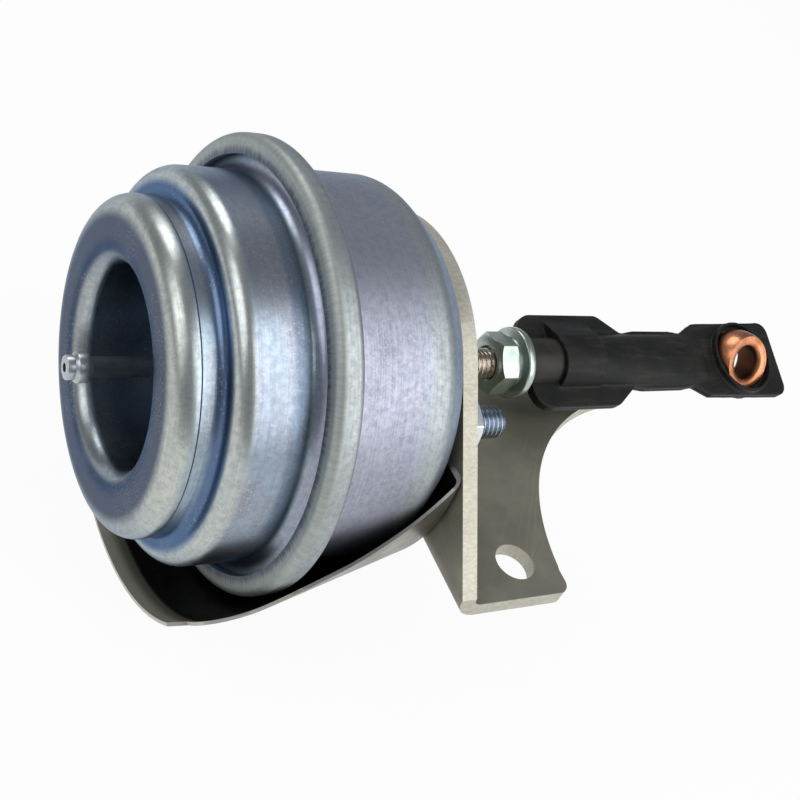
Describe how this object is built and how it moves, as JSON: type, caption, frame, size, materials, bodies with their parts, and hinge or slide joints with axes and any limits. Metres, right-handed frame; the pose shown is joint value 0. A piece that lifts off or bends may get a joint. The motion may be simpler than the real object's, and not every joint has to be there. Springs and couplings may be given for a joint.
{
  "type": "turbo actuator",
  "caption": "Vacuum diaphragm actuator: stepped canister, heat shield, L-shaped mounting bracket, and a spring-loaded threaded rod with a swivelling rod end.",
  "frame": {"origin": "midway between the bracket's two bolt holes, on the leg's under face", "axes": "+X along the rod, from canister to rod end; +Z out of the leg's upper face, towards the rod; +Y across, away from the leg's near corner"},
  "size_m": [0.1394, 0.073, 0.069],
  "materials": {
    "cover": "blue zinc plate, satin",
    "housing": "blue-violet zinc plate, satin",
    "nipple": "zinc plate",
    "rubber": "matt black",
    "piston": "pressed steel",
    "spring": "oiled spring wire",
    "plastic": "natural",
    "washer": "zinc plate",
    "guide": "moulded, matt",
    "stud": "blue zinc plate",
    "nut": "pale zinc plate",
    "shield": "heat-browned sheet",
    "bracket": "mill finish, warm grey",
    "rod": "bright steel",
    "black_steel": "black phosphate, satin",
    "bronze": "copper-coloured bronze"
  },
  "bodies": {
    "canister": {"vacuum_cover": "cover", "lower_housing": "housing", "vacuum_nipple": "nipple", "diaphragm": "rubber", "return_spring": "spring", "spring_seat": "plastic", "rod_guide": "guide", "rod_seal": "rubber", "guide_clip": "washer", "stud_near": "stud", "stud_far": "stud", "stud_washer_near": "washer", "stud_washer_far": "washer", "stud_nut_near": "nut", "stud_nut_far": "nut", "heat_shield": "shield", "bracket": "bracket"},
    "rod": {"actuator_rod": "rod", "piston_cup": "piston", "diaphragm_retainer": "piston", "rivet_washer": "washer", "stop_washer": "rubber", "rod_end_sleeve": "black_steel", "rod_end_front": "black_steel", "rod_end_rear": "black_steel"},
    "locknut": {"locknut": "nut"},
    "ball": {"swivel_ball": "bronze"}
  },
  "joints": [
    {"name": "rod_slide", "type": "slide", "parent": "canister", "child": "rod", "axis": [-1, 0, 0], "range_m": [0, 0.011], "stiffness_N_per_m": 6900, "springref_m": -0.0055, "deforming": ["return_spring", "diaphragm"]},
    {"name": "locknut_turn", "type": "hinge", "parent": "rod", "child": "locknut", "pos_m": [-0.0061, 0.01425, 0.0105], "axis": [1, 0, 0], "range_deg": [-360, 0]},
    {"name": "ball_tilt", "type": "hinge", "parent": "rod", "child": "ball", "pos_m": [0.0506, 0.01425, 0.0105], "axis": [1, 0, 0], "range_deg": [-60, 0]}
  ]
}
